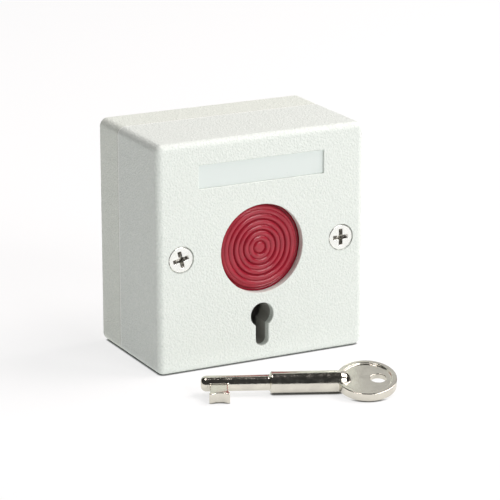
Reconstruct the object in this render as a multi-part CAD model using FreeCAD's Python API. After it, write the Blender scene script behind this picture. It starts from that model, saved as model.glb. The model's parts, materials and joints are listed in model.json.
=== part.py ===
"""Manual call point: a square surface-mounted box with a ridged push button that stays
pressed until a key resets it.  Millimetres.  The frame: +X to the right seen from the
front, +Y into the wall, +Z up, origin at the centre of the back face.

Most sizes along Y are given as depths, counted from the front face of the box.
"""
import FreeCAD, Part
import os

Vector = FreeCAD.Vector

# ---- the box ---------------------------------------------------------------------
box_width = 68.0
box_height = 69.5
box_depth = 40.0
cover_depth = 27.0          # the front cover's share of the depth; the rear box has the rest
wall = 2.3
inner_radius = 1.0          # corners of the cavity
corner_radius = 2.5         # the four long edges that run front to back
front_round = 2.0           # the edge all round the front face
edge_break = 0.25           # soft edge of the openings in the front face
parting_bevel = 0.1         # small bevels that make the line between cover and rear box
lip_thickness = 1.0         # the rear box's lip that locates the cover
lip_height = 1.6
lip_gap = 0.15
rib_half = 0.9              # half the thickness of the webs beside the screw bosses
join = 0.5                  # how far a boss or post runs into the wall it stands on

# ---- features of the front face --------------------------------------------------
label_width = 41.0
label_height = 7.1
label_z = 24.0
label_pocket = 1.05
label_thickness = 0.45
label_gap = 0.03            # all round the label strip
button_hole_radius = 13.5
keyhole_radius = 3.75
keyhole_z = -20.5
keyslot_width = 4.2
keyslot_bottom = -30.1

# ---- cover screws ----------------------------------------------------------------
screw_x = 26.4
screw_head_radius = 3.9
screw_shank_radius = 1.95
screw_length = 33.0
screw_sink = 0.1            # the head sits this far below the face
screw_lip = 0.25            # the straight edge of the countersunk head
screw_clearance = 0.25      # round the shank
head_clearance = 0.2        # round the head
recess_depth = 2.3
recess_reach = 2.5
recess_arm = 0.62           # half the width of one arm of the cross
screw_turn = (-13.0, 0.0)   # how far each cross recess is turned, in degrees
boss_radius = 4.4
insert_radius = 2.8
insert_bore = 2.05
insert_length = 7.0

# ---- push button and plunger -----------------------------------------------------
button_radius = 12.95
button_depth = 1.4          # its face lies this far behind the cover's
button_back = 4.2
button_flange_radius = 14.2
button_flange_front = 2.6
groove_first = 1.05         # rings of grooves leave rounded ridges between them
groove_pitch = 1.62
groove_depth = 0.42
groove_mouth = 1.0
groove_floor = 0.2
groove_count = 7
collar_inner = 14.6         # the cover's collar that the button's flange runs in
collar_outer = 16.0
collar_back = 8.0
press_travel = 3.8
stem_radius = 4.0
guide_clearance = 0.06
neck_radius = 3.2
disc_radius = 6.4           # the plunger's front disc, against the button
clip_groove = 0.15          # from the guide's back end to the snap ring's groove
clip_groove_width = 0.7
clip_groove_radius = 3.0
clip_radius = 5.4
clip_mouth = 2.2            # half the gap in the snap ring
nose_radius = 2.0
blade_gap = 1.8             # from the nose to the contact blade when nothing is pressed
return_coil_radius = 5.4
return_wire = 0.35

# ---- depths of the mechanism behind the cover ------------------------------------
guide_front = 11.0          # front end of the plunger's guide tube, where its spring sits
guide_back = 21.4
frame_front = 18.7
frame_thickness = 2.0
frame_back = frame_front + frame_thickness
frame_half_width = 27.5
frame_half_height = 26.0
post_x = 24.0               # four posts of the cover carry the frame
post_z = 22.0
post_radius = 3.2
post_bore = 1.25
frame_screw_radius = 1.2
frame_screw_head = 2.8
frame_screw_head_height = 1.9
guide_radius = 7.0
catch_depth = 14.6          # the plane of the catch wire
catch_wire = 0.8
catch_leg_x = 3.7
catch_bend_z = 9.4
catch_end_z = -12.0
catch_slot = 0.65           # half the width of the slots that let the wire into the guide
lock_back = 17.5            # front side of the lock housing's back wall
lock_left = -9.6
lock_right = 7.8
lock_bottom = -30.9
lock_top = -11.3
lock_open_back = 8.8        # the side walls are lower in front of this depth
lock_shoulder_z = -16.6
lock_wall = 1.1
keyway_gap = 0.15           # the keyway behind the cover is this much wider than the keyhole
keyway_wall = 0.9
keyway_back = 8.8           # behind this depth the bit is free to turn
keyway_plate = 0.8
pilot_radius = 2.5          # the hole that the key's tip turns in
pilot_depth = 1.2

# ---- release slide ---------------------------------------------------------------
slide_front = 12.2
slide_back = 15.8
slide_left = -9.3
slide_right = 4.8
slide_foot_z = -22.1
slide_shoulder_z = -16.0
slide_top_z = -13.4
nose_top_z = -10.6
slide_spring_x = -7.2
slide_coil_radius = 1.5
slide_wire = 0.25
slide_play = 0.3
keeper_thickness = 0.9
keeper_left = -14.6
keeper_right = 9.9
keeper_screw_radius = 0.8
slide_stop_z = -7.6         # underside of the lug that the slide's spring pushes on

# ---- contacts --------------------------------------------------------------------
strip_thickness = 0.8
strip_width = 5.0
leaf_depth = 26.4
leaf_thickness = 0.3
terminal_x = (-14.0, 0.0, 14.0)
terminal_z = 17.0
terminal_depth = leaf_depth + leaf_thickness
contact_x = 14.0
closed_depth = 24.2         # the strip that the blade rests on
open_depth = 29.6           # the strip that it is pushed against
rivet_radius = 0.78
rivet_hole = 0.8
rivet_head = 1.5
rivet_dome = 0.5
clamp_half = 3.2
clamp_thickness = 0.9
terminal_bore = 1.5
terminal_shank = 1.45
terminal_head = 2.7
terminal_head_height = 1.9

# ---- rear box --------------------------------------------------------------------
cable_radius = 6.5
wall_hole_z = 22.0
wall_hole_radius = 2.25
wall_pad_radius = 5.0
wall_pad_height = 1.2
back_round = 0.4

# ---- reset key, lying on the surface that the box stands on -----------------------
key_length = 56.5
key_tip_radius = 2.3
key_tip_length = 20.0
key_shank_radius = 3.2
key_bow_length = 17.4
key_bow_width = 18.6
key_bow_thickness = 2.5
key_bow_rim = 1.5
key_bow_recess = 0.45
key_hole_radius = 2.3
key_bit_start = 2.6
key_bit_width = 5.2
key_bit_reach = 8.4
key_bit_thickness = 2.8
key_roll = 13.0             # the bow tips until the bit touches the surface
key_yaw = -24.1
key_tip_at = (-30.0, -59.6)


# ---- helpers ---------------------------------------------------------------------
def at(depth):
    """The Y of a depth behind the front face."""
    return depth - box_depth


def block(x, depths, z):
    """A box from three (low, high) pairs; the middle pair is in depth."""
    corner = Vector(x[0], at(depths[0]), z[0])
    return Part.makeBox(x[1] - x[0], depths[1] - depths[0], z[1] - z[0], corner)


def rod(radius, depths, x=0.0, z=0.0):
    """A cylinder that runs front to back."""
    base = Vector(x, at(depths[0]), z)
    return Part.makeCylinder(radius, depths[1] - depths[0], base, Vector(0, 1, 0))


def cone(radius_front, radius_back, depths, x=0.0, z=0.0):
    base = Vector(x, at(depths[0]), z)
    return Part.makeCone(radius_front, radius_back, depths[1] - depths[0], base, Vector(0, 1, 0))


def turned(profile, x=0.0, z=0.0):
    """A solid turned about a front-to-back axis from (radius, depth) points."""
    points = [Vector(radius, at(depth), 0) for radius, depth in profile]
    face = Part.Face(Part.makePolygon(points + points[:1]))
    solid = face.revolve(Vector(0, 0, 0), Vector(0, 1, 0), 360)
    solid.translate(Vector(x, 0, z))
    return solid


def plate(outline, depths):
    """A flat plate from an (x, z) outline, between two depths."""
    points = [Vector(x, at(depths[0]), z) for x, z in outline]
    face = Part.Face(Part.makePolygon(points + points[:1]))
    return face.extrude(Vector(0, depths[1] - depths[0], 0))


def rounded_prism(width, height, radius, depths):
    """A box centred on the Y axis with its four front-to-back edges rounded."""
    solid = block((-width / 2, width / 2), depths, (-height / 2, height / 2))
    edges = [e for e in solid.Edges if abs(e.tangentAt(e.FirstParameter).y) > 0.99]
    return solid.makeFillet(radius, edges)


def edges_at(solid, depth):
    """The edges that lie wholly in the plane at one depth."""
    y = at(depth)
    return [e for e in solid.Edges if abs(e.BoundBox.YMin - y) < 1e-4 and e.BoundBox.YLength < 1e-4]


def fuse(solids):
    joined = solids[0].multiFuse(solids[1:])
    return joined.removeSplitter()


def cut(solid, tools):
    return solid.cut(Part.makeCompound(tools))


def keyhole_prism(depths, margin=0.0):
    """The keyhole's shape as a solid: a round hole over a slot with a round bottom."""
    half = keyslot_width / 2 + margin
    foot_z = keyslot_bottom + keyslot_width / 2
    return fuse([
        rod(keyhole_radius + margin, depths, z=keyhole_z),
        block((-half, half), depths, (foot_z, keyhole_z)),
        rod(half, depths, z=foot_z),
    ])


def coil(mean_radius, wire_radius, length, turns):
    """A compression spring along +Z from z = 0."""
    helix = Part.makeHelix((length - 2 * wire_radius) / turns, length - 2 * wire_radius, mean_radius)
    helix.translate(Vector(0, 0, wire_radius))
    start = Vector(mean_radius, 0, wire_radius)
    section = Part.Wire(Part.makeCircle(wire_radius, start, Vector(0, 1, 0)))
    return Part.Wire(helix).makePipeShell([section], True, True)


# ---- casing ----------------------------------------------------------------------
def frame_post_places():
    return [(x, z) for x in (-post_x, post_x) for z in (-post_z, post_z)]


def mirrored_span(inner, outer, side):
    """The (low, high) X pair of something that lies between two distances on one side."""
    return tuple(sorted((side * inner, side * outer)))


def front_cover():
    outer = rounded_prism(box_width, box_height, corner_radius, (0.0, cover_depth))
    outer = outer.makeFillet(front_round, edges_at(outer, 0.0))
    outer = outer.makeChamfer(parting_bevel, edges_at(outer, cover_depth))
    cavity = rounded_prism(box_width - 2 * wall, box_height - 2 * wall,
                           inner_radius, (wall, cover_depth))
    solids = [outer.cut(cavity)]
    inside = wall - join
    for side in (-1, 1):
        solids.append(rod(boss_radius, (inside, cover_depth), side * screw_x))
        rib = mirrored_span(screw_x, box_width / 2 - inside, side)
        solids.append(block(rib, (inside, cover_depth), (-rib_half, rib_half)))
    for x, z in frame_post_places():
        solids.append(rod(post_radius, (inside, frame_front), x, z))
    # The collar is open at the bottom, above the lock housing.
    collar = rod(collar_outer, (inside, collar_back)).cut(rod(collar_inner, (0.0, collar_back + 1)))
    gap = block((-11, 11), (wall, collar_back + 1), (-collar_outer - 1, -9))
    solids.append(collar.cut(gap))
    solid = fuse(solids)

    half_width, half_height = label_width / 2, label_height / 2
    tools = [
        rod(button_hole_radius, (-1.0, wall + 0.1)),
        rod(collar_inner, (wall, collar_back + join)),
        keyhole_prism((-1.0, wall + 0.1)),
        block((-half_width, half_width), (-1.0, label_pocket),
              (label_z - half_height, label_z + half_height)),
    ]
    head_hole = screw_head_radius + head_clearance
    head_depth = screw_sink + screw_lip
    for side in (-1, 1):
        x = side * screw_x
        tools.append(rod(screw_shank_radius + screw_clearance, (-1.0, cover_depth + 1), x))
        tools.append(rod(head_hole, (-1.0, head_depth), x))
        tools.append(cone(head_hole, 0.0, (head_depth, head_depth + head_hole), x))
    for x, z in frame_post_places():
        tools.append(rod(post_bore, (collar_back, frame_front + 1), x, z))
    solid = cut(solid, tools)

    # The label pocket, the button's hole and the keyhole have soft edges.
    openings = [e for e in edges_at(solid, 0.0)
                if e.BoundBox.XLength <= label_width + 1e-3
                and abs(e.CenterOfMass.x) <= label_width / 2 + 1e-3
                and abs(e.CenterOfMass.z) < box_height / 2 - front_round - 1e-3]
    return solid.makeFillet(edge_break, openings)


def rear_box():
    outer = rounded_prism(box_width, box_height, corner_radius, (cover_depth, box_depth))
    outer = outer.makeChamfer(parting_bevel, edges_at(outer, cover_depth))
    outer = outer.makeFillet(back_round, edges_at(outer, box_depth))
    floor = box_depth - wall
    cavity = rounded_prism(box_width - 2 * wall, box_height - 2 * wall,
                           inner_radius, (cover_depth, floor))
    solids = [outer.cut(cavity)]

    # The lip stands inside the cover's walls, on a foot that joins it to the rear box.
    lip_inset = wall + lip_gap
    inner_inset = lip_inset + lip_thickness
    lip_front, foot_back = cover_depth - lip_height, cover_depth + lip_thickness
    inner = rounded_prism(box_width - 2 * inner_inset, box_height - 2 * inner_inset,
                          lip_thickness, (lip_front - 1, foot_back + 1))
    lip = rounded_prism(box_width - 2 * lip_inset, box_height - 2 * lip_inset,
                        inner_radius, (lip_front, foot_back)).cut(inner)
    for side in (-1, 1):
        gap = mirrored_span(screw_x - boss_radius - 2, box_width / 2, side)
        lip = lip.cut(block(gap, (lip_front - 1, cover_depth), (-6, 6)))
    reach = wall - 0.2
    foot = rounded_prism(box_width - 2 * reach, box_height - 2 * reach, 1.5,
                         (cover_depth, foot_back)).cut(inner)
    solids += [lip, foot]

    for side in (-1, 1):
        solids.append(rod(boss_radius + 0.2, (cover_depth, floor + join), side * screw_x))
        rib = mirrored_span(screw_x, box_width / 2 - wall + join, side)
        solids.append(block(rib, (cover_depth, floor + join), (-rib_half, rib_half)))
        solids.append(rod(wall_pad_radius, (floor - wall_pad_height, floor + join),
                          z=side * wall_hole_z))
    solid = fuse(solids)
    tools = [rod(cable_radius, (floor - 2, box_depth + 1))]
    for side in (-1, 1):
        tools.append(rod(insert_radius, (cover_depth - 1, cover_depth + insert_length + 1),
                         side * screw_x))
        tools.append(rod(wall_hole_radius, (floor - 2, box_depth + 1), z=side * wall_hole_z))
    return cut(solid, tools)


def label_strip():
    half_width, half_height = label_width / 2 - label_gap, label_height / 2 - label_gap
    return block((-half_width, half_width), (label_pocket - label_thickness, label_pocket),
                 (label_z - half_height, label_z + half_height))


def cross_recess(x, turn):
    """A tapered cross, sunk in a countersunk head."""
    taper_from = 0.35
    bottom_half = 0.9
    outline = [(-recess_reach, -0.6), (recess_reach, -0.6), (recess_reach, taper_from),
               (bottom_half, recess_depth), (-bottom_half, recess_depth), (-recess_reach, taper_from)]
    points = [Vector(along, at(depth), -recess_arm) for along, depth in outline]
    wings = []
    for angle in (0, 90):
        wing = Part.Face(Part.makePolygon(points + points[:1])).extrude(Vector(0, 0, 2 * recess_arm))
        wing.rotate(Vector(0, 0, 0), Vector(0, 1, 0), angle + turn)
        wing.translate(Vector(x, 0, 0))
        wings.append(wing)
    return wings


def cover_screws():
    screws = []
    top = screw_sink
    cone_back = top + screw_lip + screw_head_radius - screw_shank_radius
    tip_radius = screw_shank_radius - 0.75
    profile = [(0, top), (screw_head_radius, top), (screw_head_radius, top + screw_lip),
               (screw_shank_radius, cone_back), (screw_shank_radius, screw_length - 1.0),
               (tip_radius, screw_length), (0, screw_length)]
    for side, turn in zip((-1, 1), screw_turn):
        x = side * screw_x
        screws.append(cut(turned(profile, x), cross_recess(x, turn)))
    return Part.makeCompound(screws)


def insert_nuts():
    """The threaded bushes in the rear box that the cover screws run into."""
    nuts = []
    front = cover_depth + 0.1
    for side in (-1, 1):
        x = side * screw_x
        nut = rod(insert_radius, (front, front + insert_length), x)
        nut = nut.cut(rod(insert_bore, (front - 1, front + insert_length + 1), x))
        groove = rod(insert_radius + 1, (front + 3.0, front + 4.0), x)
        groove = groove.cut(rod(insert_radius - 0.4, (front, front + insert_length), x))
        nuts.append(nut.cut(groove))
    return Part.makeCompound(nuts)


# ---- push button -----------------------------------------------------------------
def push_button():
    """The red cap: a flange keeps it in the hole, rings run round its face."""
    face = [(0, button_depth)]
    for ring in range(groove_count):
        middle = groove_first + ring * groove_pitch
        floor = button_depth + groove_depth
        face += [(middle - groove_mouth / 2, button_depth), (middle - groove_floor / 2, floor),
                 (middle + groove_floor / 2, floor), (middle + groove_mouth / 2, button_depth)]
    rim = [(button_radius - 0.25, button_depth), (button_radius, button_depth + 0.3),
           (button_radius, button_flange_front), (button_flange_radius, button_flange_front),
           (button_flange_radius, button_back), (0, button_back)]
    return turned(face + rim)


def plunger():
    """The stem: its ring snaps past the catch wire, and its nose moves the contact blade."""
    ring_front = catch_depth + catch_wire / 2 - (press_travel - 0.2)
    groove_front = guide_back + clip_groove
    groove_back = groove_front + clip_groove_width
    nose_end = leaf_depth - blade_gap
    profile = [
        (0, button_back), (disc_radius, button_back), (disc_radius, button_back + 0.6),
        (stem_radius + 0.5, button_back + 0.6), (stem_radius, button_back + 1.1),
        (stem_radius, ring_front - 1.3), (neck_radius, ring_front - 1.3),
        (neck_radius, ring_front), (stem_radius, ring_front), (stem_radius, ring_front + 0.8),
        (neck_radius, ring_front + 1.9), (neck_radius, catch_depth + 0.9),
        (stem_radius, catch_depth + 0.9), (stem_radius, groove_front),
        (clip_groove_radius, groove_front), (clip_groove_radius, groove_back),
        (stem_radius, groove_back), (stem_radius, groove_back + 0.95),
        (nose_radius, groove_back + 0.95), (nose_radius, nose_end), (0, nose_end),
    ]
    return turned(profile)


def plunger_clip():
    """The open snap ring that keeps the plunger in its guide."""
    front = guide_back + clip_groove + 0.05
    depths = (front, front + clip_groove_width - 0.1)
    around = (front - 1, front + 2)
    ring = rod(clip_radius, depths).cut(rod(clip_groove_radius + 0.02, around))
    return ring.cut(block((-clip_mouth, clip_mouth), around, (-clip_radius - 1, 0)))


def return_spring():
    front = button_back + 0.65
    spring = coil(return_coil_radius, return_wire, guide_front - front - 0.05, 3.0)
    spring.rotate(Vector(0, 0, 0), Vector(1, 0, 0), -90)
    spring.translate(Vector(0, at(front), 0))
    return spring


# ---- switch frame and latch ------------------------------------------------------
def switch_frame():
    """The black moulding that carries the guide, the catch wire and the terminals."""
    back = frame_back
    through = (frame_front - 1, back + 1)
    solids = [
        block((-frame_half_width, frame_half_width), (frame_front, back),
              (-frame_half_height, frame_half_height)),
        rod(guide_radius, (guide_front, guide_back)),
        # the terminal block, the pillar under the blade and the posts under two strips
        block((-20.5, 20.5), (back, terminal_depth), (13.0, 21.0)),
        block((-17.0, -11.5), (back, leaf_depth), (-2.6, 2.6)),
        rod(2.2, (back, closed_depth), contact_x, 1.0),
        rod(2.0, (back, open_depth), 5.5, 9.6),
        # the post that the catch wire bends round, with the seat behind the wire
        rod(2.7, (catch_depth - 1.4, frame_front), z=catch_bend_z),
        block((-4.9, 4.9), (catch_depth + 0.5, frame_front), (6.0, 14.2)),
        # the lug over the slide's spring
        block((-9.2, -4.6), (slide_front - 0.2, frame_front), (slide_stop_z, slide_stop_z + 1.4)),
    ]
    solid = fuse(solids)
    tools = [rod(stem_radius + guide_clearance, (guide_front - 1, guide_back + 1))]
    wire_slot = (catch_depth - catch_slot, catch_depth + catch_slot)
    for side in (-1, 1):
        tools.append(block(mirrored_span(2.95, 5.6, side), wire_slot, (-9, 8.6)))
        tools.append(block(mirrored_span(21.2, frame_half_width + 0.5, side), through, (-6.2, 6.2)))
    for x, z in frame_post_places():
        tools.append(rod(1.7, through, x, z))
    for x in terminal_x:
        tools.append(rod(terminal_bore, (back - 1, terminal_depth + 1), x, terminal_z))
    tools.append(rod(pilot_radius, (frame_front - 1, frame_front + pilot_depth), z=keyhole_z))
    tools.append(rod(rivet_hole, (leaf_depth - 3.0, leaf_depth + 1), terminal_x[0]))
    tools.append(block((-1.35, 1.35), (guide_front - 1, catch_depth - 1.0), (-8, -3.5)))
    return cut(solid, tools)


def frame_screws():
    screws = []
    slot_front, slot_half, slot_reach = frame_back + 0.9, 0.35, 1.6
    head_depths = (frame_back, frame_back + frame_screw_head_height)
    for x, z in frame_post_places():
        head = rod(frame_screw_head, head_depths, x, z)
        shank = rod(frame_screw_radius, (10.0, frame_back + 0.2), x, z)
        recess = [block((x - half_x, x + half_x), (slot_front, head_depths[1] + 1),
                        (z - half_z, z + half_z))
                  for half_x, half_z in ((slot_reach, slot_half), (slot_half, slot_reach))]
        screws.append(cut(fuse([head, shank]), recess))
    return Part.makeCompound(screws)


def lock_housing():
    """The black pocket behind the keyhole, where the key's bit turns."""
    front, back = wall + 0.05, frame_front
    left, right = lock_left - lock_wall, lock_right + lock_wall
    floor = (lock_bottom - 1.0, lock_bottom)
    track_front = slide_front - slide_play
    pocket = (lock_open_back, back)
    mouth = (front, lock_open_back + 0.2)
    solids = [
        block((left, right), (lock_back, back), (floor[0], lock_top)),
        block((left, lock_left), pocket, (floor[0], lock_top)),
        block((lock_right, right), pocket, (floor[0], -15.0)),
        block((left, right), (front, back), floor),
        block((left, lock_left), mouth, (floor[0], lock_shoulder_z)),
        block((lock_right, right), mouth, (floor[0], lock_shoulder_z)),
        # the keyway, with a plate at its end that the turned bit can't pass
        keyhole_prism((front, keyway_back), keyway_gap + keyway_wall),
        block((lock_left, lock_right), (keyway_back - keyway_plate, keyway_back),
              (lock_bottom, lock_shoulder_z)),
        # the slide's track and the two feet for the keeper's screws
        block((slide_right + slide_play, slide_right + 1.5), (track_front, back), (-16.2, lock_top)),
        block((keeper_left, lock_left), (track_front, back), (lock_shoulder_z, lock_top)),
        block((slide_right + slide_play, keeper_right), (track_front, back), (-14.6, lock_top)),
    ]
    solid = fuse(solids)
    tools = [rod(pilot_radius, (lock_back - 1, back + 1), z=keyhole_z),
             keyhole_prism((front - 1, keyway_back + 1), keyway_gap)]
    for x, z in keeper_screw_places():
        tools.append(rod(keeper_screw_radius + 0.05, (slide_front - 1, lock_back - 0.5), x, z))
    tools.append(block((left - 0.1, lock_left), (lock_open_back - 0.8, track_front),
                       (lock_shoulder_z, lock_top + 0.1)))
    return cut(solid, tools)


def keeper_screw_places():
    return [(-12.6, -14.0), (8.0, -12.9)]


def slide_keeper():
    """The small plate that holds the release slide in its track."""
    back = slide_front - slide_play
    front = back - keeper_thickness
    through = (front - 1, back + 1)
    solid = block((keeper_left, keeper_right), (front, back), (-16.4, lock_top - 0.1))
    solid = solid.cut(block((slide_right + 1.5, keeper_right + 1), through, (-17, -14.6)))
    return cut(solid, [rod(keeper_screw_radius + 0.25, through, x, z)
                       for x, z in keeper_screw_places()])


def keeper_screws():
    front = slide_front - slide_play - keeper_thickness
    screws = []
    for x, z in keeper_screw_places():
        screw = fuse([rod(1.7, (front - 1.1, front), x, z),
                      rod(keeper_screw_radius, (front - 0.2, lock_back - 1.0), x, z)])
        slot = block((x - 2, x + 2), (front - 2, front - 0.6), (z - 0.25, z + 0.25))
        screws.append(screw.cut(slot))
    return Part.makeCompound(screws)


def release_slide():
    """The key's bit lifts its foot, and its nose spreads the catch wire's legs."""
    foot_right = -5.2
    nose_base, nose_tip = 4.2, 1.9
    outline = [
        (slide_left, slide_foot_z), (foot_right, slide_foot_z), (foot_right, slide_shoulder_z),
        (slide_right, slide_shoulder_z), (slide_right, slide_top_z), (nose_base, slide_top_z),
        (nose_tip, nose_top_z), (-nose_tip, nose_top_z), (-nose_base, slide_top_z),
        (slide_left, slide_top_z),
    ]
    return plate(outline, (slide_front, slide_back))


def release_spring():
    length = slide_stop_z - slide_top_z - 0.1
    spring = coil(slide_coil_radius, slide_wire, length, 3.0)
    spring.translate(Vector(slide_spring_x, at((slide_front + slide_back) / 2), slide_top_z + 0.05))
    return spring


def catch_wire_clip():
    """The sprung wire: two legs astride the plunger, bent round a post at the top."""
    y = at(catch_depth)
    bend = Part.Arc(Vector(-catch_leg_x, y, catch_bend_z), Vector(0, y, catch_bend_z + catch_leg_x),
                    Vector(catch_leg_x, y, catch_bend_z)).toShape()
    left = Part.makeLine(Vector(-catch_leg_x, y, catch_end_z), Vector(-catch_leg_x, y, catch_bend_z))
    right = Part.makeLine(Vector(catch_leg_x, y, catch_bend_z), Vector(catch_leg_x, y, catch_end_z))
    path = Part.Wire([left, bend, right])
    start = Vector(-catch_leg_x, y, catch_end_z)
    section = Part.Wire(Part.makeCircle(catch_wire / 2, start, Vector(0, 0, 1)))
    return path.makePipeShell([section], True, True)


# ---- contacts and terminals ------------------------------------------------------
def across(x):
    """The (low, high) X pair of a strip centred on x."""
    return (x - strip_width / 2, x + strip_width / 2)


def from_depth(depth):
    return (depth, depth + strip_thickness)


def rivet_bore(x):
    return rod(rivet_hole, (frame_front, box_depth), x)


def terminal_tab(x):
    return block(across(x), from_depth(terminal_depth), (13.1, 20.6))


def screw_hole(x):
    return rod(1.6, (terminal_depth - 1, terminal_depth + 2), x, terminal_z)


def common_strip():
    """Joins the left terminal to the fixed end of the contact blade."""
    x = terminal_x[0]
    leg = block(across(x), from_depth(terminal_depth), (-2.4, 13.2))
    return cut(fuse([terminal_tab(x), leg]), [screw_hole(x), rivet_bore(x)])


def stepped_strip(x_terminal, contact_depth, legs):
    """A terminal tab, a step to another depth, and legs that run to the contact."""
    low = min(contact_depth, terminal_depth)
    high = max(contact_depth, terminal_depth) + strip_thickness
    step_z = (12.1, 12.9)
    riser = block(across(x_terminal), (low, high), step_z)
    joint = block(across(x_terminal), from_depth(terminal_depth), (step_z[0], 13.2))
    runs = [block(x, from_depth(contact_depth), z) for x, z in legs]
    solid = fuse([terminal_tab(x_terminal), joint, riser] + runs)
    return cut(solid, [screw_hole(x_terminal), rivet_bore(contact_x)])


def closed_contact_strip():
    return stepped_strip(terminal_x[2], closed_depth, [(across(contact_x), (-2.4, 12.9))])


def open_contact_strip():
    sideways = (across(terminal_x[1])[0], across(contact_x)[1])
    return stepped_strip(terminal_x[1], open_depth, [
        (sideways, (7.6, 12.9)),
        (across(contact_x), (-2.4, 12.9)),
    ])


def contact_blade():
    """The springy moving contact: riveted at the left, it carries the moving contact."""
    blade = block((terminal_x[0] - 2.4, contact_x + 2.0), (leaf_depth, leaf_depth + leaf_thickness),
                  (-1.9, 1.9))
    return cut(blade, [rivet_bore(terminal_x[0]), rivet_bore(contact_x)])


def rivet(x, depths, heads):
    """A contact rivet: a shank with a low head at each listed end."""
    solids = [rod(rivet_radius, depths, x)]
    if "front" in heads:
        solids.append(rod(rivet_head, (depths[0] - rivet_dome, depths[0]), x))
    if "back" in heads:
        solids.append(rod(rivet_head, (depths[1], depths[1] + rivet_dome), x))
    return fuse(solids)


def contact_tips():
    return Part.makeCompound([
        rivet(contact_x, from_depth(closed_depth), ["back"]),
        rivet(contact_x, (leaf_depth, leaf_depth + leaf_thickness), ["front", "back"]),
        rivet(contact_x, from_depth(open_depth), ["front"]),
    ])


def blade_rivet():
    return rivet(terminal_x[0], (leaf_depth - 2.5, terminal_depth + strip_thickness), ["back"])


def terminal_clamps():
    clamps = []
    front = terminal_depth + strip_thickness
    for x in terminal_x:
        clamp = block((x - clamp_half, x + clamp_half), (front, front + clamp_thickness),
                      (terminal_z - clamp_half, terminal_z + clamp_half))
        edges = [e for e in clamp.Edges if abs(e.tangentAt(e.FirstParameter).y) > 0.99]
        hole = rod(1.65, (front - 1, front + 2), x, terminal_z)
        clamps.append(clamp.makeFillet(0.5, edges).cut(hole))
    return Part.makeCompound(clamps)


def terminal_screws():
    screws = []
    seat = terminal_depth + strip_thickness + clamp_thickness
    for x in terminal_x:
        head = rod(terminal_head, (seat, seat + terminal_head_height), x, terminal_z)
        shank = rod(terminal_shank, (frame_back + 0.4, seat + 0.2), x, terminal_z)
        slot = block((x - terminal_head - 0.3, x + terminal_head + 0.3), (seat + 1.0, seat + 3),
                     (terminal_z - 0.4, terminal_z + 0.4))
        screws.append(fuse([head, shank]).cut(slot))
    return Part.makeCompound(screws)


# ---- reset key -------------------------------------------------------------------
def key_shank():
    """The round bar, thinner along its tip, that runs into the bow."""
    step, end_bevel = 0.5, 1.0
    shank_end = key_length - key_bow_length + 3.5
    profile = [
        (0, 0), (key_tip_radius, 0), (key_tip_radius, key_tip_length),
        (key_shank_radius, key_tip_length + step), (key_shank_radius, shank_end - end_bevel),
        (key_shank_radius - end_bevel, shank_end), (0, shank_end),
    ]
    points = [Vector(along, radius, 0) for radius, along in profile]
    shank = Part.Face(Part.makePolygon(points + points[:1]))
    shank = shank.revolve(Vector(0, 0, 0), Vector(1, 0, 0), 360)
    tip_edges = [e for e in shank.Edges if abs(e.BoundBox.XMin) < 1e-4 and e.BoundBox.XLength < 1e-4]
    return shank.makeFillet(1.6, tip_edges)


def bow_disc(radius, bottom, top):
    """An upright oval disc; the radius is the one along the key."""
    centre = Vector(key_length - key_bow_length / 2, 0, bottom)
    across_radius = radius * key_bow_width / key_bow_length
    oval = Part.Ellipse(centre + Vector(0, across_radius, 0), centre + Vector(radius, 0, 0), centre)
    return Part.Face(Part.Wire(oval.toShape())).extrude(Vector(0, 0, top - bottom))


def key_bow():
    """The flat oval grip with a raised rim and a hole for a ring."""
    half = key_bow_thickness / 2
    bow = bow_disc(key_bow_length / 2, -half, half)
    bow = bow.makeFillet(0.5, [e for e in bow.Edges if e.BoundBox.ZLength < 1e-4])
    inner = key_bow_length / 2 - key_bow_rim
    hole_x = key_length - key_bow_rim - key_hole_radius - 1.6
    return cut(bow, [
        bow_disc(inner, half - key_bow_recess, half + 1),
        bow_disc(inner, -half - 1, -half + key_bow_recess),
        Part.makeCylinder(key_hole_radius, 2 * key_bow_thickness, Vector(hole_x, 0, -key_bow_thickness)),
    ])


def key_bit():
    """The flag near the tip: its end is flared, with a small round notch in it."""
    half = key_bit_thickness / 2
    flare, flare_height, notch_radius = 0.4, 1.0, 0.8
    flag = Part.makeBox(key_bit_width, key_bit_reach, key_bit_thickness,
                        Vector(key_bit_start, -key_bit_reach, -half))
    foot = Part.makeBox(key_bit_width + 2 * flare, flare_height, key_bit_thickness,
                        Vector(key_bit_start - flare, -key_bit_reach, -half))
    notch_at = Vector(key_bit_start + key_bit_width / 2, -key_bit_reach - 0.3, -key_bit_thickness)
    return fuse([flag, foot]).cut(Part.makeCylinder(notch_radius, 2 * key_bit_thickness, notch_at))


def reset_key():
    """Made along +X from its tip, flat bow in XY, bit towards -Y; then laid down."""
    key = fuse([key_shank(), key_bow(), key_bit()])
    key.rotate(Vector(0, 0, 0), Vector(1, 0, 0), key_roll)
    key.rotate(Vector(0, 0, 0), Vector(0, 0, 1), key_yaw)
    key.translate(Vector(key_tip_at[0], key_tip_at[1], 0))
    key.translate(Vector(0, 0, -box_height / 2 - key.optimalBoundingBox(False).ZMin))
    return key


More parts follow.
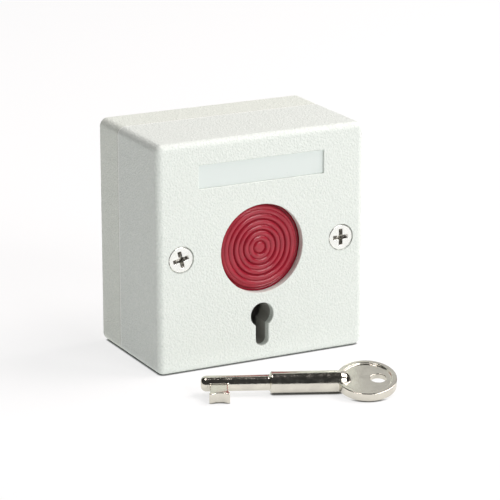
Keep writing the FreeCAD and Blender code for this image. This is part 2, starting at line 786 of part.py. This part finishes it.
parts = {
    "front_cover": front_cover, "rear_box": rear_box, "label_strip": label_strip,
    "cover_screws": cover_screws, "insert_nuts": insert_nuts,
    "push_button": push_button, "plunger": plunger, "plunger_clip": plunger_clip,
    "return_spring": return_spring, "switch_frame": switch_frame, "frame_screws": frame_screws,
    "lock_housing": lock_housing, "slide_keeper": slide_keeper, "keeper_screws": keeper_screws,
    "release_slide": release_slide, "release_spring": release_spring,
    "catch_wire": catch_wire_clip, "common_strip": common_strip,
    "closed_contact_strip": closed_contact_strip, "open_contact_strip": open_contact_strip,
    "contact_blade": contact_blade, "blade_rivet": blade_rivet, "contact_tips": contact_tips,
    "terminal_clamps": terminal_clamps, "terminal_screws": terminal_screws,
    "reset_key": reset_key,
}

os.makedirs("parts", exist_ok=True)
for name, build in parts.items():
    shape = build()
    if not shape.isValid():
        raise ValueError(name + " is not valid")
    shape.exportStep("parts/" + name + ".step")
    print(name, "solids", len(shape.Solids), "volume", round(shape.Volume, 1))
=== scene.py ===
"""Looks of the manual call point: a white wall box with a ridged red button, and its reset key."""
import json
import math

import bmesh
import bpy
from mathutils import Matrix, Vector


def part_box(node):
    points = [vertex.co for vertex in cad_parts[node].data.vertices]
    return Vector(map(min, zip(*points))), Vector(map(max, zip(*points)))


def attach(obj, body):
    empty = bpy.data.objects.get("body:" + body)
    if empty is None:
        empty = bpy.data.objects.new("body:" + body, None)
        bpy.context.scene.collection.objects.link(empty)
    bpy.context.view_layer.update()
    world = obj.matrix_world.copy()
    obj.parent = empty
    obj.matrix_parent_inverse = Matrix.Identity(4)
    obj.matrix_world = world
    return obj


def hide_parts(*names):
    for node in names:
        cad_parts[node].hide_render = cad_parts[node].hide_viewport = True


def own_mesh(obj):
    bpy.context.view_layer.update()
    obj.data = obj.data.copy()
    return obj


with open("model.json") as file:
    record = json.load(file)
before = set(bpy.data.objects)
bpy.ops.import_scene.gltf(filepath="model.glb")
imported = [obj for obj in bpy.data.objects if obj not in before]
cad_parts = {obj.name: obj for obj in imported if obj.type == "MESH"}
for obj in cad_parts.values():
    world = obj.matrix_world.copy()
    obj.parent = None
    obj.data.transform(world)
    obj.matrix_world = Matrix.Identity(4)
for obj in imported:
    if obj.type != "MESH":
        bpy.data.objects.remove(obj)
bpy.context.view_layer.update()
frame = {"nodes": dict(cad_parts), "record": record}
MM = 0.001

# ---- places, all taken from the CAD frame ------------------------------------------
cover_low, cover_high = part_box("front_cover")
button_low, button_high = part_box("push_button")
screws_low, screws_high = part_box("cover_screws")
floor_z = cover_low.z
parting_y = cover_high.y    # where the cover meets the rear box

# ---- the button cap, in millimetres --------------------------------------------------
button_radius = 12.95
groove_radii = (1.9, 3.6, 5.25, 6.9, 8.5, 10.25)    # the cap's rings lie between these
ring_heights = (0.35, 0.5, 0.5, 0.62, 0.55, 0.62)   # of the ring inside each groove
deep_grooves = (1.9, 5.25, 8.5)
deep_extra = (0.3, 0.3)     # how much deeper these go, and over what half width
rim_crest = 10.95           # from here the cap's face falls to its edge
rim_depth = 2.1
rim_groove = (11.75, 0.25, 0.22)    # radius, depth and half width of a last fine line
flange_thickness = 1.6
flange_round = 0.2
skirt_end = ((0.01, -0.1), (0.1, 0.0))      # added radius, and place from the flange's front
cap_steps = 420             # points of the face from its centre to its edge
cap_segments = 192

# ---- the cover screws, in millimetres ------------------------------------------------
screw_radius = 3.9
screw_turns = (-13.0, 0.0)  # how far each cross recess is turned, in degrees
crown = [(0, 0.0), (1.8, 0.0), (3.0, 0.03)]         # radius and depth of the head's face
head_round = 0.3
head_round_depth = 0.33
head_cone = [(screw_radius, 0.45), (1.95, 2.35), (1.95, 3.2), (0, 3.2)]
recess_wing = ((-0.5, 2.75, 0.68), (0.0, 2.6, 0.62),    # depth, half reach and half width
               (1.2, 1.75, 0.50), (2.3, 0.9, 0.36))
recess_depths = (0.22, 2.6)     # between these the recess gets tarnish plus painted shade
recess_reach = 3.0              # its radius at the face
recess_taper = 0.9              # how much narrower it gets for each millimetre of depth
painted_rim_shadow = (3.72, 0.08)    # radius and depth where the painted shadow line round the head starts
recess_voxel = 0.05
head_voxel = 0.055
head_smoothing = 4
shank_start = 3.1
shank_radius = 1.9
shank_point = (1.2, 1.0)        # radius and length of the chamfered end

# ---- the key, in millimetres: X runs from its tip to its bow, and its bit points to -Y -----
key_length = 56.5
key_roll = 13.0             # degrees; its bit and bow lean by this
key_yaw = -24.1             # degrees; how it lies on the floor
key_tip = (-30.0, -59.6)    # where its tip lies
tip_round = 1.6
thin_radius = 2.3
shoulder = [(thin_radius, 19.6), (2.45, 19.9), (3.0, 20.1), (3.2, 20.4)]    # radius, along
barrel_end = [(3.2, 38.6), (3.1, 40.4), (2.7, 41.8), (1.9, 42.8), (0, 43.2)]
bow_length = 17.4
bow_width = 18.6
bow_half = 1.25             # half its thickness
bow_rim = 1.5
bow_pocket = 0.45           # how deep each side is sunk inside the rim
bow_hole = 2.3              # radius
bow_hole_web = 1.6          # metal left between the hole and the rim
barrel_spared = 30.0        # from here on the barrel isn't cut by the bow's pockets
bit_middle = 5.2
bit_side = [(2.6, -1.0), (2.6, -7.0), (3.0, -7.7), (2.95, -8.3), (2.4, -8.45), (1.0, -7.85)]
bit_half = 1.4              # half its thickness
bit_flare_from = -6.9       # beyond this the bit is thicker, nearer to the shank thinner
bit_flare = (1.2, 0.8)
cutter_reach = 3.0          # how far a cutter stands out of the bow
blank_cast = (0.12, 1)      # voxel and smoothing steps before the bow is cut
key_cast = (0.13, 5)        # and after

# ---- stage, in metres ------------------------------------------------------------------
floor_half = 6.0
painted_shadow_reach = 0.0009      # how near the floor has to be to a piece to turn dark: a painted contact shadow
light_target = (0, -0.02, 0)
warm = (1.0, 0.94, 0.94)
white = (1, 1, 1)
lamps = (                   # name, place, width and height, watts, tint
    ("key_light", (0.90, -0.25, 1.10), (1.0, 1.0), 18.0, warm),
    ("top_light", (-0.35, -0.07, 1.36), (0.35, 0.35), 4.8, warm),
    ("back_light", (0.45, 1.05, 0.75), (1.8, 1.1), 3.8, white),
    ("front_light", (0.40, -1.36, 0.62), (0.7, 0.7), 11.2, white),
)
world_strength = 0.04

# ---- camera ------------------------------------------------------------------------------
camera_at = (-0.3509, -0.7225, 0.2228)
camera_yaw = 26.94          # it looks this far to the right of the wall's normal
camera_pitch = 16.22        # and this far down
camera_roll = -0.107
camera_lens = 195.44
film_width = 36.0


# ---- mesh helpers --------------------------------------------------------------------
def new_object(name, mesh):
    piece = bpy.data.objects.new(name, mesh)
    bpy.context.scene.collection.objects.link(piece)
    return piece


def object_from_bmesh(name, bm, smooth=True):
    bmesh.ops.recalc_face_normals(bm, faces=bm.faces)
    mesh = bpy.data.meshes.new(name)
    bm.to_mesh(mesh)
    bm.free()
    for polygon in mesh.polygons:
        polygon.use_smooth = smooth
    return new_object(name, mesh)


def lathe(bm, profile, segments):
    """Turns (radius, along) points about the X axis; the first and last lie on the axis."""
    rings = []
    for radius, along in profile:
        if radius < 1e-6:
            rings.append([bm.verts.new((along, 0, 0))])
            continue
        ring = []
        for step in range(segments):
            angle = 2 * math.pi * step / segments
            ring.append(bm.verts.new((along, radius * math.cos(angle), radius * math.sin(angle))))
        rings.append(ring)
    for ring, following in zip(rings, rings[1:]):
        for step in range(segments):
            after = (step + 1) % segments
            corners = [ring[step % len(ring)], ring[after % len(ring)],
                       following[after % len(following)], following[step % len(following)]]
            face = []
            for vertex in corners:
                if vertex not in face:
                    face.append(vertex)
            if len(face) > 2:
                bm.faces.new(face)


def arc(centre, radius, start, end, steps):
    """Points of an arc, angles in degrees."""
    points = []
    for step in range(steps + 1):
        angle = math.radians(start + (end - start) * step / steps)
        points.append((centre[0] + radius * math.cos(angle), centre[1] + radius * math.sin(angle)))
    return points


def oval(centre, half_x, half_y, count=96):
    """Points of an ellipse."""
    return [(centre[0] + half_x * math.cos(2 * math.pi * i / count),
             centre[1] + half_y * math.sin(2 * math.pi * i / count)) for i in range(count)]


def wall(bm, ring, following):
    """The faces between two rings with equally many corners."""
    for i in range(len(ring)):
        j = (i + 1) % len(ring)
        bm.faces.new((ring[i], ring[j], following[j], following[i]))


def prism(bm, outline, low, high):
    """A closed prism along Z over an outline of (x, y) points; returns its corners."""
    bottom = [bm.verts.new((x, y, low)) for x, y in outline]
    top = [bm.verts.new((x, y, high)) for x, y in outline]
    bm.faces.new(bottom[::-1])
    bm.faces.new(top)
    wall(bm, bottom, top)
    return bottom + top


def apply_modifiers(piece):
    """Replaces the mesh by its evaluated form."""
    graph = bpy.context.evaluated_depsgraph_get()
    mesh = bpy.data.meshes.new_from_object(piece.evaluated_get(graph))
    piece.modifiers.clear()
    piece.data = mesh
    for polygon in mesh.polygons:
        polygon.use_smooth = True


def subtract(piece, cutter):
    """Cuts the second piece out of the first, and removes it."""
    step = piece.modifiers.new("cut", "BOOLEAN")
    step.operation = "DIFFERENCE"
    step.solver = "EXACT"
    step.object = cutter
    apply_modifiers(piece)
    bpy.data.objects.remove(cutter)


def cast(piece, voxel, smoothing):
    """Melts overlapping solids into one skin with soft inner corners, as a casting has."""
    skin = piece.modifiers.new("skin", "REMESH")
    skin.mode = "VOXEL"
    skin.voxel_size = voxel
    if smoothing:
        soften = piece.modifiers.new("soften", "SMOOTH")
        soften.factor = 0.5
        soften.iterations = smoothing
    apply_modifiers(piece)


def place(piece, matrix):
    """Brings a piece made in millimetres into the frame, in metres."""
    piece.data.transform(matrix @ Matrix.Scale(MM, 4))


def facing_wall(x, y):
    """Turns a lathed piece's X axis into the wall and brings its start to this x and y."""
    return Matrix.Translation((x, y, 0)) @ Matrix.Rotation(math.radians(90), 4, "Z")


# ---- material helpers ------------------------------------------------------------------
class Surface:
    """A Principled material with object-space noise for its fine detail."""

    def __init__(self, name, color, roughness, metallic=0.0, specular=0.5):
        self.material = bpy.data.materials.new(name)
        self.material.use_nodes = True
        self.nodes = self.material.node_tree.nodes
        self.links = self.material.node_tree.links
        self.shader = self.nodes["Principled BSDF"]
        self.shader.inputs["Base Color"].default_value = (*color, 1)
        self.shader.inputs["Roughness"].default_value = roughness
        self.shader.inputs["Metallic"].default_value = metallic
        self.shader.inputs["Specular IOR Level"].default_value = specular
        self.place = self.nodes.new("ShaderNodeTexCoord").outputs["Object"]
        self.bumped = None

    def noise(self, scale, detail=3.0):
        node = self.nodes.new("ShaderNodeTexNoise")
        node.inputs["Scale"].default_value = scale
        node.inputs["Detail"].default_value = detail
        node.inputs["Roughness"].default_value = 0.55
        self.links.new(self.place, node.inputs["Vector"])
        return node.outputs["Fac"]

    def cells(self, scale):
        """Soft rounded cells, as a leather grain has."""
        node = self.nodes.new("ShaderNodeTexVoronoi")
        node.feature = "SMOOTH_F1"
        node.inputs["Scale"].default_value = scale
        self.links.new(self.place, node.inputs["Vector"])
        return node.outputs["Distance"]

    def ramp(self, value, low, high, from_low=0.3, from_high=0.7):
        node = self.nodes.new("ShaderNodeMapRange")
        node.inputs["From Min"].default_value = from_low
        node.inputs["From Max"].default_value = from_high
        node.inputs["To Min"].default_value = low
        node.inputs["To Max"].default_value = high
        self.links.new(value, node.inputs["Value"])
        return node.outputs["Result"]

    def mix(self, value, second):
        """A base colour that goes over to the second tone as the value rises; returns its node."""
        node = self.nodes.new("ShaderNodeMix")
        node.data_type = "RGBA"
        node.inputs[7].default_value = (*second, 1)
        self.links.new(value, node.inputs[0])
        return node

    def tint(self, value, first, second):
        """Base colour that wanders between two tones."""
        node = self.mix(value, second)
        node.inputs[6].default_value = (*first, 1)
        self.links.new(node.outputs[2], self.shader.inputs["Base Color"])

    def calculate(self, operation, value, second=0.0):
        node = self.nodes.new("ShaderNodeMath")
        node.operation = operation
        node.inputs[1].default_value = second
        self.links.new(value, node.inputs[0])
        return node.outputs["Value"]

    def painted_stripe(self, y, half_width, color):
        """A painted line of another tone round the piece, along the plane at this Y: the painted
        highlight and painted shade of the parting line.
        """
        split = self.nodes.new("ShaderNodeSeparateXYZ")
        self.links.new(self.place, split.inputs["Vector"])
        away = self.calculate("ABSOLUTE", self.calculate("SUBTRACT", split.outputs["Y"], y))
        node = self.mix(self.ramp(away, 1, 0, 0.7 * half_width, half_width), color)
        self.links.new(self.shader.inputs["Base Color"].links[0].from_socket, node.inputs[6])
        self.links.new(node.outputs[2], self.shader.inputs["Base Color"])

    def rough(self, value):
        self.links.new(value, self.shader.inputs["Roughness"])

    def bump(self, value, strength, distance):
        node = self.nodes.new("ShaderNodeBump")
        node.inputs["Strength"].default_value = strength
        node.inputs["Distance"].default_value = distance
        self.links.new(value, node.inputs["Height"])
        if self.bumped is not None:
            self.links.new(self.bumped, node.inputs["Normal"])
        self.bumped = node.outputs["Normal"]
        self.links.new(self.bumped, self.shader.inputs["Normal"])


def white_plastic(name, first, second, parting_paint, parting_paint_width):
    """White ABS with a fine moulded leather grain, and a painted line along the parting line: a painted
    highlight on the cover, painted shade on the rear box.
    """
    surface = Surface(name, first, roughness=0.5)
    surface.tint(surface.ramp(surface.noise(scale=1400.0, detail=4.0), 0, 1), first, second)
    # painted parting line: highlight on the cover, shade on the rear box
    surface.painted_stripe(parting_y, parting_paint_width * MM, parting_paint)
    surface.rough(surface.ramp(surface.noise(scale=900.0), 0.42, 0.58))
    surface.bump(surface.cells(scale=2100.0), strength=0.8, distance=0.0002)
    surface.bump(surface.noise(scale=1500.0, detail=4.0), strength=0.6, distance=0.0002)
    return surface.material


def smooth_white():
    surface = Surface("label_film", (0.74, 0.80, 0.77), roughness=0.3)
    surface.bump(surface.noise(scale=250.0), strength=0.1, distance=0.00005)
    surface.rough(surface.ramp(surface.noise(scale=150.0), 0.26, 0.36))
    return surface.material


def red_plastic():
    surface = Surface("red_plastic", (0.37, 0.018, 0.036), roughness=0.15)
    tones = ((0.34, 0.016, 0.033), (0.40, 0.021, 0.040))
    surface.tint(surface.ramp(surface.noise(scale=300.0), 0, 1), *tones)
    surface.rough(surface.ramp(surface.noise(scale=1500.0), 0.10, 0.22))
    surface.bump(surface.noise(scale=2500.0, detail=2.0), strength=0.12, distance=0.00004)
    return surface.material


def dark_plastic(name, color):
    surface = Surface(name, color, roughness=0.42)
    surface.rough(surface.ramp(surface.noise(scale=800.0), 0.36, 0.5))
    surface.bump(surface.noise(scale=3000.0), strength=0.1, distance=0.00004)
    return surface.material


def ivory_plastic():
    surface = Surface("ivory_plastic", (0.66, 0.62, 0.50), roughness=0.4)
    surface.bump(surface.noise(scale=2500.0), strength=0.08, distance=0.00003)
    surface.rough(surface.ramp(surface.noise(scale=600.0), 0.34, 0.46))
    return surface.material


def metal(name, color, second, smoothest, roughest, grain):
    surface = Surface(name, color, roughness=smoothest, metallic=1.0)
    surface.tint(surface.ramp(surface.noise(scale=400.0), 0, 1), color, second)
    surface.rough(surface.ramp(surface.noise(scale=900.0), smoothest, roughest))
    surface.bump(surface.noise(scale=2600.0), strength=grain, distance=0.00003)
    return surface.material


def tarnish_and_painted_shade():
    """Dull zinc with dark spots: tarnish plus painted shade in the recesses, and a painted shadow round
    the rims of the screws.
    """
    surface = Surface("recess_tarnish_and_shade", (0.4, 0.39, 0.36), roughness=0.4, metallic=1.0)
    spots = surface.ramp(surface.noise(scale=1300.0, detail=2.0), 0, 1, 0.4, 0.6)
    surface.tint(spots, (0.90, 0.88, 0.82), (0.14, 0.13, 0.12))
    surface.rough(surface.ramp(surface.noise(scale=900.0), 0.3, 0.5))
    surface.bump(surface.noise(scale=2600.0), strength=0.3, distance=0.00003)
    return surface.material


def nickel():
    """Bright plating over a cast blank: slight waves and fine pits."""
    surface = Surface("key_nickel", (0.72, 0.69, 0.61), roughness=0.1, metallic=1.0)
    tones = ((0.75, 0.72, 0.63), (0.63, 0.60, 0.53))
    surface.tint(surface.ramp(surface.noise(scale=180.0), 0, 1), *tones)
    surface.rough(surface.ramp(surface.noise(scale=700.0, detail=5.0), 0.07, 0.22))
    surface.bump(surface.noise(scale=260.0, detail=2.0), strength=0.25, distance=0.00012)
    surface.bump(surface.noise(scale=2600.0, detail=4.0), strength=0.4, distance=0.00005)
    return surface.material


materials = {
    # the third tone of each is painted along the parting line: a painted highlight on the cover,
    # painted shade on the rear box
    "cover_plastic": white_plastic("cover_plastic", (0.725, 0.775, 0.725), (0.82, 0.86, 0.81),
                                   (0.98, 1.0, 0.96), 0.6),
    "base_plastic": white_plastic("base_plastic", (0.725, 0.77, 0.70), (0.82, 0.855, 0.78),
                                  (0.66, 0.69, 0.62), 0.35),
    "label_film": smooth_white(),
    "red_plastic": red_plastic(),
    "black_plastic": dark_plastic("black_plastic", (0.06, 0.062, 0.06)),
    "lock_plastic": dark_plastic("lock_plastic", (0.40, 0.40, 0.37)),
    "ivory_plastic": ivory_plastic(),
    "zinc_steel": metal("zinc_steel", (0.92, 0.93, 0.89), (0.85, 0.86, 0.82), 0.14, 0.3, 0.08),
    "spring_steel": metal("spring_steel", (0.5, 0.5, 0.5), (0.4, 0.4, 0.41), 0.25, 0.4, 0.06),
    "brass": metal("brass", (0.78, 0.56, 0.25), (0.68, 0.47, 0.2), 0.2, 0.38, 0.06),
    "bronze_leaf": metal("bronze_leaf", (0.72, 0.42, 0.24), (0.62, 0.35, 0.2), 0.22, 0.4, 0.06),
    "contact_silver": metal("contact_silver", (0.88, 0.87, 0.84), (0.8, 0.79, 0.76), 0.15, 0.3, 0.05),
    "key_nickel": nickel(),
}
# the screws' second material: tarnish plus painted shade in the recess, painted shadow round the head
recess_tarnish_and_shade = tarnish_and_painted_shade()


def finish_cad_nodes():
    """Gives every CAD node its slot's material."""
    for part in frame["record"]["subparts"]:
        node = frame["nodes"][part["node"]]
        node.data.materials.clear()
        node.data.materials.append(materials[part["material_slot"]])


def dress(piece, slot, body, *nodes):
    """Gives a piece its slot's material if it has none, hangs it under its body, and hides the CAD
    nodes that it stands in for.
    """
    if not piece.data.materials:
        piece.data.materials.append(materials[slot])
    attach(piece, body)
    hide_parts(*nodes)


# ---- the button cap ------------------------------------------------------------------------
def fall(across):
    """How far a quarter circle of radius 1 has fallen at this share of its radius."""
    return 1.0 - math.sqrt(max(0.0, 1.0 - across * across))


def dip(radius, middle, half_width):
    """A smooth groove of depth 1 round the cap."""
    return math.exp(-((radius - middle) / half_width) ** 2)


def button_face_depth(radius):
    """How far the cap's face lies behind its front plane at this radius."""
    depth = 0.0
    for groove in deep_grooves:
        depth += deep_extra[0] * dip(radius, groove, deep_extra[1])
    inner = -groove_radii[0]
    for outer, height in zip(groove_radii, ring_heights):
        if radius <= outer:
            return depth + height * fall((2 * radius - inner - outer) / (outer - inner))
        inner = outer
    if radius < rim_crest:
        return depth + ring_heights[-1] * fall((rim_crest - radius) / (rim_crest - inner))
    at, deep, half_width = rim_groove
    depth += deep * dip(radius, at, half_width)
    return depth + rim_depth * fall((radius - rim_crest) / (button_radius - rim_crest))


def button_cap():
    """The red cap: rings between deep and shallow grooves, a rounded rim and a flange."""
    back = (button_high.y - button_low.y) / MM
    flange_radius = (button_high.x - button_low.x) / 2 / MM
    flange_front = back - flange_thickness
    profile = []
    for step in range(cap_steps + 1):
        radius = button_radius * step / cap_steps
        profile.append((radius, button_face_depth(radius)))
    profile += [(button_radius + wider, flange_front + along) for wider, along in skirt_end]
    profile += arc((flange_radius - flange_round, flange_front + flange_round), flange_round, -90, 0, 4)
    profile += [(flange_radius, back), (0, back)]
    bm = bmesh.new()
    lathe(bm, profile, cap_segments)
    piece = object_from_bmesh("button_cap", bm)
    place(piece, facing_wall(0, button_low.y))
    dress(piece, "red_plastic", "button", "push_button")


# ---- the cover screws ----------------------------------------------------------------------
def cross_cutter(turn):
    """Two crossed wings that get smaller with depth, melted into one."""
    bm = bmesh.new()
    for quarter in range(2):
        spin = Matrix.Rotation(math.radians(90 * quarter + turn), 3, "X")
        rings = []
        for depth, reach, width in recess_wing:
            corners = ((reach, width), (-reach, width), (-reach, -width), (reach, -width))
            rings.append([bm.verts.new(spin @ Vector((depth, y, z))) for y, z in corners])
        bm.faces.new(rings[0])
        bm.faces.new(rings[-1][::-1])
        for ring, following in zip(rings, rings[1:]):
            wall(bm, ring, following)
    cutter = object_from_bmesh("cutter", bm)
    cast(cutter, recess_voxel, 0)
    return cutter


def tarnish_and_shade_at(middle):
    """Whether this point of the head lies in the recess, which gets tarnish plus painted shade, or in
    the painted shadow line round the head.
    """
    radius = math.hypot(middle.y, middle.z)
    if recess_depths[0] < middle.x < recess_depths[1]:
        if radius < recess_reach - recess_taper * middle.x:
            return True
    return radius > painted_rim_shadow[0] and middle.x > painted_rim_shadow[1]


def screw(name, x, turn):
    """A countersunk screw: soft-edged head, tapered cross recess, plain shank."""
    length = (screws_high.y - screws_low.y) / MM
    rim = arc((screw_radius - head_round, head_round_depth), head_round, -80, 0, 5)
    bm = bmesh.new()
    lathe(bm, crown + rim + head_cone, 96)
    piece = object_from_bmesh(name, bm)
    subtract(piece, cross_cutter(turn))
    cast(piece, head_voxel, head_smoothing)
    point_radius, point_length = shank_point
    shank = [(0, shank_start), (shank_radius, shank_start), (shank_radius, length - point_length),
             (point_radius, length), (0, length)]
    bm = bmesh.new()
    lathe(bm, shank, 48)
    bm.from_mesh(piece.data)
    bm.to_mesh(piece.data)
    bm.free()
    piece.data.materials.append(materials["zinc_steel"])
    piece.data.materials.append(recess_tarnish_and_shade)
    # polygons in the recess take tarnish plus painted shade, those round the rim a painted shadow
    for polygon in piece.data.polygons:
        polygon.use_smooth = True
        if tarnish_and_shade_at(polygon.center):
            polygon.material_index = 1
    place(piece, facing_wall(x, screws_low.y))
    dress(piece, "zinc_steel", "housing", "cover_screws")


def cover_screws():
    offset = screws_high.x - screw_radius * MM
    screw("screw_left", -offset, screw_turns[0])
    screw("screw_right", offset, screw_turns[1])


# ---- the springs ---------------------------------------------------------------------------
def spring(node):
    """A copy of the CAD coil with the spring steel finish, standing in for its node."""
    source = frame["nodes"][node]
    mesh = source.data.copy()
    mesh.transform(source.matrix_world)
    mesh.materials.clear()
    piece = new_object(node + "_coil", mesh)
    dress(piece, "spring_steel", "housing", node)
    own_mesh(piece)


def springs():
    spring("return_spring")
    spring("release_spring")


# ---- the key -------------------------------------------------------------------------------
def key_blank():
    """A stepped round shank, a plain oval bow and a flag bit with flared corners."""
    bm = bmesh.new()
    tip = arc((thin_radius - tip_round, tip_round), tip_round, 270, 360, 8)[1:]
    lathe(bm, [(0, 0)] + tip + shoulder + barrel_end, 96)
    bow_x = key_length - bow_length / 2
    prism(bm, oval((bow_x, 0), bow_length / 2, bow_width / 2), -bow_half, bow_half)
    bit = [(bit_middle - x, y) for x, y in bit_side]
    bit += [(bit_middle + x, y) for x, y in bit_side[::-1]]
    for vertex in prism(bm, bit, -bit_half, bit_half):
        beyond = vertex.co.y < bit_flare_from
        vertex.co.z *= bit_flare[0] if beyond else bit_flare[1]
    piece = object_from_bmesh("reset_key_cast", bm)
    cast(piece, *blank_cast)
    return piece


def bow_pockets():
    """What is cut from both sides of the bow, inside its rim but not from the barrel's end."""
    bow_x = key_length - bow_length / 2
    outline = oval((bow_x, 0), bow_length / 2 - bow_rim, bow_width / 2 - bow_rim)
    floor_at = bow_half - bow_pocket
    bm = bmesh.new()
    prism(bm, outline, floor_at, cutter_reach)
    prism(bm, outline, -cutter_reach, -floor_at)
    pockets = object_from_bmesh("cutter", bm)
    barrel_radius = barrel_end[0][0]
    bm = bmesh.new()
    lathe(bm, [(0, barrel_spared), (barrel_radius, barrel_spared)] + barrel_end, 96)
    subtract(pockets, object_from_bmesh("spared", bm))
    return pockets


def key():
    """The nickel key, lying on the floor on its bit and bow."""
    piece = key_blank()
    subtract(piece, bow_pockets())
    hole_x = key_length - bow_rim - bow_hole - bow_hole_web
    bm = bmesh.new()
    prism(bm, oval((hole_x, 0), bow_hole, bow_hole, 64), -cutter_reach, cutter_reach)
    subtract(piece, object_from_bmesh("hole", bm))
    cast(piece, *key_cast)
    yaw = Matrix.Rotation(math.radians(key_yaw), 4, "Z")
    place(piece, yaw @ Matrix.Rotation(math.radians(key_roll), 4, "X"))
    drop = floor_z - min(vertex.co.z for vertex in piece.data.vertices)
    piece.data.transform(Matrix.Translation((key_tip[0] * MM, key_tip[1] * MM, drop)))
    dress(piece, "key_nickel", "key", "reset_key")


# ---- stage ---------------------------------------------------------------------------------
def floor():
    """A pale floor that glows a little, except in a thin line of painted contact shadow round what
    stands on it.
    """
    bm = bmesh.new()
    bmesh.ops.create_grid(bm, x_segments=1, y_segments=1, size=floor_half)
    piece = object_from_bmesh("floor", bm, smooth=False)
    piece.location.z = floor_z
    surface = Surface("floor_white", (0.30, 0.30, 0.30), roughness=0.9, specular=0.0)
    surface.shader.inputs["Emission Color"].default_value = (1, 1, 1, 1)
    # the glow dims by ambient occlusion near what stands on the floor: a painted contact shadow
    painted_shadow_mask = surface.nodes.new("ShaderNodeAmbientOcclusion")
    painted_shadow_mask.inputs["Distance"].default_value = painted_shadow_reach
    glow_with_painted_shadow = surface.ramp(painted_shadow_mask.outputs["AO"], 0.0, 0.70, 0.3, 0.75)
    surface.links.new(glow_with_painted_shadow, surface.shader.inputs["Emission Strength"])
    piece.data.materials.append(surface.material)


def area_light(name, at, size, power, tint):
    data = bpy.data.lights.new(name, "AREA")
    data.shape = "RECTANGLE"
    data.size, data.size_y = size
    data.energy = power
    data.color = tint
    light = new_object(name, data)
    light.location = at
    aim = Vector(light_target) - Vector(at)
    light.rotation_euler = aim.to_track_quat("-Z", "Y").to_euler()


def lights():
    for lamp in lamps:
        area_light(*lamp)
    world = bpy.data.worlds.new("studio")
    world.use_nodes = True
    background = world.node_tree.nodes["Background"]
    background.inputs["Color"].default_value = (1, 1, 1, 1)
    background.inputs["Strength"].default_value = world_strength
    bpy.context.scene.world = world


def camera():
    data = bpy.data.cameras.new("camera")
    data.lens = camera_lens
    data.sensor_width = film_width
    piece = new_object("camera", data)
    piece.location = camera_at
    turn = Matrix.Rotation(math.radians(-camera_yaw), 4, "Z")
    turn = turn @ Matrix.Rotation(math.radians(90 - camera_pitch), 4, "X")
    turn = turn @ Matrix.Rotation(math.radians(camera_roll), 4, "Z")
    piece.rotation_euler = turn.to_euler()
    bpy.context.scene.camera = piece


bpy.context.scene.view_settings.view_transform = "Standard"
finish_cad_nodes()
button_cap()
cover_screws()
springs()
key()
floor()
lights()
camera()
